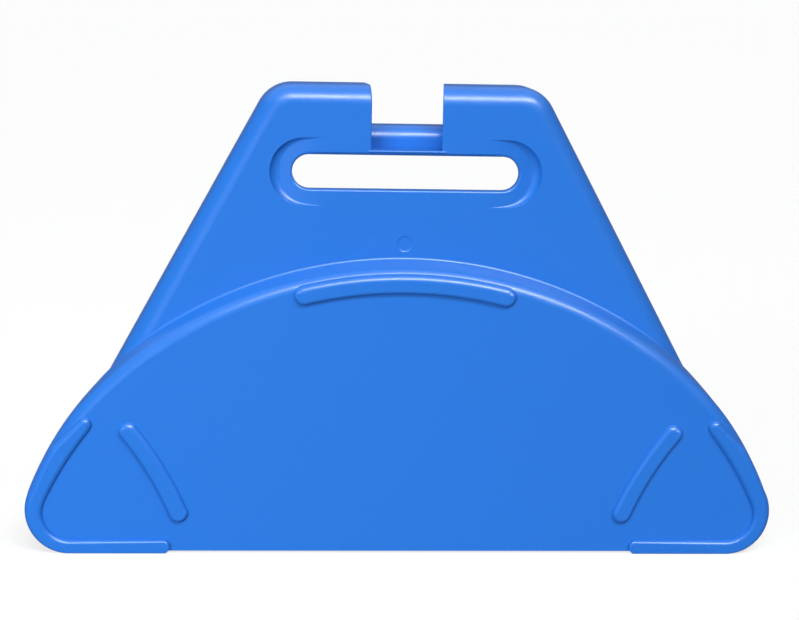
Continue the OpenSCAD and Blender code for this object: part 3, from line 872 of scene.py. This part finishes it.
def speckled(name, base, dot, rough):
    """Filled bearing plastic with fine pale specks."""
    g = Graph(name)
    cells = g.node("TexVoronoi")
    cells.inputs["Scale"].default_value = 1500
    g.join(g.coords, cells.inputs["Vector"])
    specks = g.ranged(cells.outputs["Distance"], 0.12, 0.26, 1.0, 0.0)
    fine = g.noise(900, 3)
    roughness = g.ranged(fine, 0.3, 0.7, rough - 0.06, rough + 0.08)
    return g.finish(g.mix(specks, base, dot), roughness, g.bump(fine, 1.5e-5))


def closed_cell_foam(name, light, dark):
    """Cut foam: small closed cells, open where the knife went through them, with painted shade in the
    open cells' pits.
    """
    g = Graph(name)
    cells = g.node("TexVoronoi", feature="DISTANCE_TO_EDGE")
    cells.inputs["Scale"].default_value = 620
    g.join(g.coords, cells.inputs["Vector"])
    # Distance to the cell walls: the bump's height, and the mask for painted shade that darkens the pits
    walls = g.ranged(cells.outputs["Distance"], 0.0, 0.32, 1.0, 0.0)
    # Painted shade: the cells' pits take the dark colour and their walls the light one
    color = g.mix(walls, dark, light)
    color = g.mix(g.ranged(g.noise(30, 3), 0.35, 0.65, 0.0, 0.45), color, dark)
    roughness = g.ranged(walls, 0, 1, 0.95, 0.8)
    normal = g.bump(walls, 2.2e-4, 0.9)
    return g.finish(color, roughness, g.bump(g.noise(70, 3), 3e-4, 0.6, normal))


BLUE, DEEP_BLUE = (0.0145, 0.155, 0.59), (0.0105, 0.128, 0.52)
MATERIALS = {
    "panel_blue": moulded("panel_blue", BLUE, DEEP_BLUE, 0.33, specular_ior_level=0.6),
    "strip_blue": moulded("strip_blue", BLUE, DEEP_BLUE, 0.32, scuffs=0.05, specular_ior_level=0.6),
    "bush_acetal": moulded("bush_acetal", (0.74, 0.69, 0.56), (0.66, 0.6, 0.47), 0.36, 1200, 1e-5,
                           subsurface_weight=0.08),
    "pin_steel": machined("pin_steel", (0.62, 0.62, 0.63), (0.5, 0.5, 0.52), 0.26),
    "wheel_acetal": moulded("wheel_acetal", (0.8, 0.8, 0.78), (0.71, 0.71, 0.68), 0.38, 1000, 1e-5,
                            scuffs=0.1, subsurface_weight=0.08),
    "sleeve_black": speckled("sleeve_black", (0.035, 0.034, 0.032), (0.16, 0.155, 0.15), 0.42),
    "washer_nylon": moulded("washer_nylon", (0.66, 0.6, 0.45), (0.56, 0.5, 0.36), 0.42, 1400, 1e-5,
                            subsurface_weight=0.12),
    "clip_steel": machined("clip_steel", (0.3, 0.3, 0.32), (0.14, 0.14, 0.16), 0.38, (30, 1, 1)),
    "insert_brass": machined("insert_brass", (0.72, 0.5, 0.2), (0.52, 0.34, 0.12), 0.3),
    "foam_grey": closed_cell_foam("foam_grey", (0.085, 0.085, 0.095), (0.03, 0.03, 0.034))}


# ---- pieces in the frame ----

finish_piece(side_panel(), "panel_shell", "panel", ["side_panel"], MATERIALS["panel_blue"])
for node, strip in wear_strips():
    finish_piece(strip, node + "_moulded", "panel", [node], MATERIALS["strip_blue"])
for node, sizes in (("left_roller_bush", (7, 10, 13)), ("right_roller_bush", (7, 10, 13)),
                    ("drive_shaft_bush", (6, 9, 11.5))):
    finish_piece(flanged_bush(node, *sizes), node + "_turned", "panel", [node], MATERIALS["bush_acetal"])
for side, where in ((-1, "left"), (1, "right")):
    wheel = f"{where}_wheel"
    finish_piece(guide_pin(f"{where}_guide_pin"), f"{where}_pin", "panel", [f"{where}_guide_pin"],
                 MATERIALS["pin_steel"])
    finish_piece(guide_wheel(f"{where}_guide_wheel"), f"{where}_wheel_moulded", wheel,
                 [f"{where}_guide_wheel"], MATERIALS["wheel_acetal"])
    finish_piece(sleeve(f"{where}_guide_bush"), f"{where}_sleeve", wheel, [f"{where}_guide_bush"],
                 MATERIALS["sleeve_black"])
    foam = finish_piece(float_block(f"{where}_float_block", side), f"{where}_float_foam", "panel",
                        [f"{where}_float_block"], MATERIALS["foam_grey"], sharp=60)
finish_piece(washers(), "washers_turned", "panel", ["thrust_washers"], MATERIALS["washer_nylon"])
finish_piece(clips(), "clips_stamped", "panel", ["pin_clips"], MATERIALS["clip_steel"],
             bevel=0.12)
finish_piece(inserts(UPPER_PILLARS), "upper_inserts_knurled", "panel", ["upper_chassis_inserts"],
             MATERIALS["insert_brass"])
finish_piece(inserts(LOWER_PILLARS), "lower_inserts_knurled", "panel", ["lower_chassis_inserts"],
             MATERIALS["insert_brass"])

# ---- camera, floor and light ----

KEY_ELEVATION, KEY_ANGLE = 46, 12
CAMERA_FROM, CAMERA_ROLL = (-3.8, 9.0), -1.098          # azimuth and elevation, and roll, in degrees
CAMERA_AT, CAMERA_DISTANCE = (-0.0016, 0, 0.127), 1.063  # metres
SENSOR_W, FOCAL_LENGTH = 36.0, 90.1126                  # millimetres
ROOM_GREY, CEILING_WHITE, BACKDROP_WHITE = (0.2, 0.2, 0.205), (1.1, 1.13, 1.13), (0.975, 0.99, 0.982)
FLOOR_LIT, FLOOR_SEEN, FLOOR_GLOW = (0.22, 0.22, 0.22), (0.3, 0.305, 0.302), 0.72


def add_camera():
    azimuth, elevation = (math.radians(a) for a in CAMERA_FROM)
    roll = math.radians(CAMERA_ROLL)
    back = Vector((math.sin(azimuth) * math.cos(elevation),
                   -math.cos(azimuth) * math.cos(elevation), math.sin(elevation)))
    right = Vector((math.cos(azimuth), math.sin(azimuth), 0))
    up = back.cross(right)
    c, s = math.cos(roll), math.sin(roll)
    r, u = right * c - up * s, right * s + up * c
    camera = bpy.data.objects.new("camera", bpy.data.cameras.new("camera"))
    camera.matrix_world = Matrix((
        (r.x, u.x, back.x, 0), (r.y, u.y, back.y, 0), (r.z, u.z, back.z, 0), (0, 0, 0, 1)))
    camera.location = Vector(CAMERA_AT) + back * CAMERA_DISTANCE
    camera.data.sensor_width, camera.data.lens = SENSOR_W, FOCAL_LENGTH
    camera.data.clip_start, camera.data.clip_end = 0.01, 1000
    SCENE.collection.objects.link(camera)
    SCENE.camera = camera


def light_path(tree, kind):
    return tree.nodes.new("ShaderNodeLightPath").outputs[kind]


def add_floor():
    """A pale sheet that runs to the horizon. It throws back less light than it shows, so that the
    undersides keep their shade."""
    reach = 400.0
    mesh = bpy.data.meshes.new("floor")
    mesh.from_pydata([(-reach, -reach, -1e-4), (reach, -reach, -1e-4), (reach, reach, -1e-4),
                      (-reach, reach, -1e-4)], [], [(0, 1, 2, 3)])
    floor = link("floor", mesh)
    g = Graph("floor")
    seen = light_path(g.tree, "Is Camera Ray")
    color = g.mix(seen, FLOOR_LIT, FLOOR_SEEN)
    g.join(g.ranged(seen, 0, 1, 0, FLOOR_GLOW), g.shader.inputs["Emission Strength"])
    g.shader.inputs["Emission Color"].default_value = (1, 1, 1, 1)
    cloudy = g.ranged(g.noise(3, 2), 0.2, 0.8, 0.9, 0.95)
    g.finish(color, cloudy, g.bump(g.noise(200, 2), 1e-5, 0.1), specular_ior_level=0.0)
    floor.data.materials.append(g.material)


def add_sun(name, azimuth, elevation, angle, energy, diffuse=True):
    """A distant soft light. Azimuth 0 is in front of the outer face, and +90 on its right."""
    a, e = math.radians(azimuth), math.radians(elevation)
    towards = Vector((math.sin(a) * math.cos(e), -math.cos(a) * math.cos(e), math.sin(e)))
    data = bpy.data.lights.new(name, "SUN")
    data.energy, data.angle = energy, math.radians(angle)
    lamp = bpy.data.objects.new(name, data)
    lamp.rotation_euler = towards.to_track_quat("Z", "Y").to_euler()
    lamp.visible_diffuse = diffuse
    SCENE.collection.objects.link(lamp)


def add_panel(name, place, size, power):
    """A square soft box that looks at the middle of the part and isn't mirrored in it."""
    data = bpy.data.lights.new(name, "AREA")
    data.size, data.energy = size, power
    lamp = bpy.data.objects.new(name, data)
    lamp.location, lamp.visible_glossy = place, False
    lamp.rotation_euler = (Vector(place) - Vector((0, 0, 0.12))).to_track_quat("Z", "Y").to_euler()
    SCENE.collection.objects.link(lamp)


def add_light():
    """A long soft box above the camera, reaching further to the right, and a fill from the left.
    The sheen lights only brighten the box's mirror image on rounded edges."""
    for k, (azimuth, energy) in enumerate(((-16, 0.43), (4, 0.86), (24, 0.97), (44, 0.54))):
        add_sun(f"key_{k}", azimuth, KEY_ELEVATION, KEY_ANGLE, energy)
        add_sun(f"sheen_{k}", azimuth, KEY_ELEVATION, KEY_ANGLE, 0.4 * energy, diffuse=False)
    add_panel("fill", (-1.0, -1.5, 0.35), 1.0, 30.5)
    SCENE.view_settings.view_transform = "Standard"
    world = bpy.data.worlds.new("studio")
    world.use_nodes = True
    tree = world.node_tree

    # Polished edges mirror a pale ceiling, which adds nothing to the flat faces
    axes = tree.nodes.new("ShaderNodeSeparateXYZ")
    tree.links.new(tree.nodes.new("ShaderNodeTexCoord").outputs["Generated"], axes.inputs["Vector"])
    share = tree.nodes.new("ShaderNodeMath")
    share.operation = "MULTIPLY"
    tree.links.new(map_range(tree, axes.outputs["Z"], 0.45, 0.8, 0, 1), share.inputs[0])
    tree.links.new(light_path(tree, "Is Glossy Ray"), share.inputs[1])
    sky = mix_colors(tree, share.outputs["Value"], ROOM_GREY, CEILING_WHITE)
    shown = mix_colors(tree, light_path(tree, "Is Camera Ray"), sky, BACKDROP_WHITE)
    tree.links.new(shown, tree.nodes["Background"].inputs["Color"])
    SCENE.world = world


add_camera()
add_floor()
add_light()
